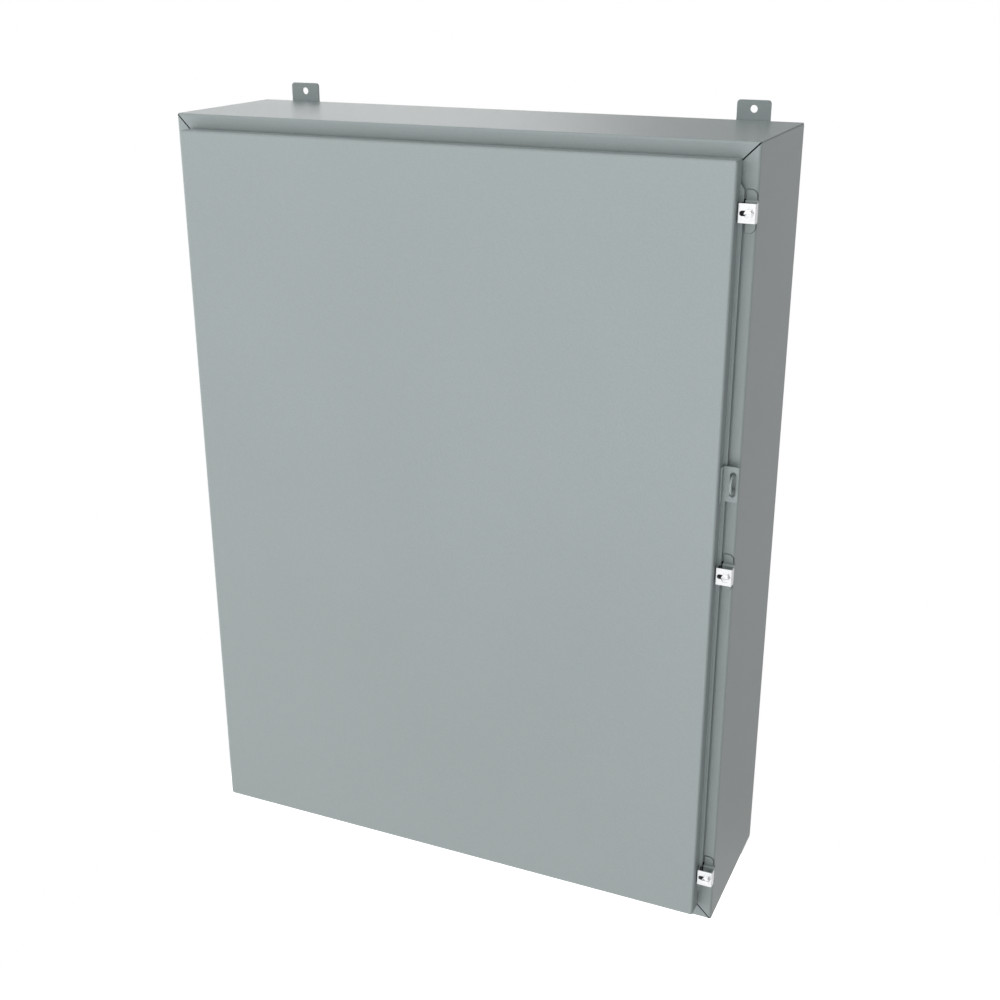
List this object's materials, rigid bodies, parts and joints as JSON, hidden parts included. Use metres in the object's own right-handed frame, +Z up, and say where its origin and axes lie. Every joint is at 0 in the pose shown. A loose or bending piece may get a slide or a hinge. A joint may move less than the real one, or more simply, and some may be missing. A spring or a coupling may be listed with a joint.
{
  "type": "steel wall enclosure",
  "caption": "Wall-mounted painted steel enclosure with a hinged pan door, sliding screw clamps, padlock hasp and staple, welded feet and an inner panel.",
  "frame": {"origin": "middle of the four foot holes, on the wall plane at the backs of the feet", "axes": "+Z up, +X to the right seen from the front, +Y into the wall; the door faces -Y"},
  "size_m": [0.917, 0.287, 1.2772],
  "materials": {
    "grey_paint": "fine-textured semi-gloss powder coat",
    "white_paint": "smooth powder coat",
    "stainless": "bright stainless steel",
    "zinc": "zinc plated",
    "gasket_foam": "matt closed-cell foam",
    "pocket_plastic": "moulded plastic"
  },
  "bodies": {
    "enclosure": {"body_shell": "grey_paint", "top_panel": "grey_paint", "bottom_panel": "grey_paint", "mounting_foot_upper_left": "grey_paint", "mounting_foot_upper_right": "grey_paint", "mounting_foot_lower_left": "grey_paint", "mounting_foot_lower_right": "grey_paint", "hinge_body_leaf": "grey_paint", "hinge_pin": "stainless", "clamp_base_upper": "grey_paint", "clamp_base_middle": "grey_paint", "clamp_base_lower": "grey_paint", "padlock_staple": "grey_paint", "mounting_panel": "white_paint", "panel_studs": "zinc", "panel_nuts": "zinc", "body_ground_stud": "zinc"},
    "door": {"door_pan": "grey_paint", "door_gasket": "gasket_foam", "door_stiffener": "grey_paint", "data_pocket": "pocket_plastic", "hinge_door_leaf": "grey_paint", "padlock_hasp": "grey_paint", "door_ground_stud": "zinc"},
    "clamp_upper": {"clamp_plate_upper": "stainless"},
    "screw_upper": {"clamp_screw_upper": "stainless"},
    "clamp_middle": {"clamp_plate_middle": "stainless"},
    "screw_middle": {"clamp_screw_middle": "stainless"},
    "clamp_lower": {"clamp_plate_lower": "stainless"},
    "screw_lower": {"clamp_screw_lower": "stainless"}
  },
  "joints": [
    {"name": "door_hinge", "type": "hinge", "parent": "enclosure", "child": "door", "pos_m": [-0.4384, -0.273, 0], "axis": [0, 0, -1], "range_deg": [0, 180]},
    {"name": "clamp_slide_upper", "type": "slide", "parent": "enclosure", "child": "clamp_upper", "axis": [1, 0, 0], "range_m": [0, 0.0092]},
    {"name": "screw_turn_upper", "type": "hinge", "parent": "enclosure", "child": "screw_upper", "pos_m": [0.451, -0.27, 0.52], "axis": [0, -1, 0], "range_deg": [0, 1080]},
    {"name": "clamp_slide_middle", "type": "slide", "parent": "enclosure", "child": "clamp_middle", "axis": [1, 0, 0], "range_m": [0, 0.0092]},
    {"name": "screw_turn_middle", "type": "hinge", "parent": "enclosure", "child": "screw_middle", "pos_m": [0.451, -0.27, 0], "axis": [0, -1, 0], "range_deg": [0, 1080]},
    {"name": "clamp_slide_lower", "type": "slide", "parent": "enclosure", "child": "clamp_lower", "axis": [1, 0, 0], "range_m": [0, 0.0092]},
    {"name": "screw_turn_lower", "type": "hinge", "parent": "enclosure", "child": "screw_lower", "pos_m": [0.451, -0.27, -0.52], "axis": [0, -1, 0], "range_deg": [0, 1080]}
  ]
}
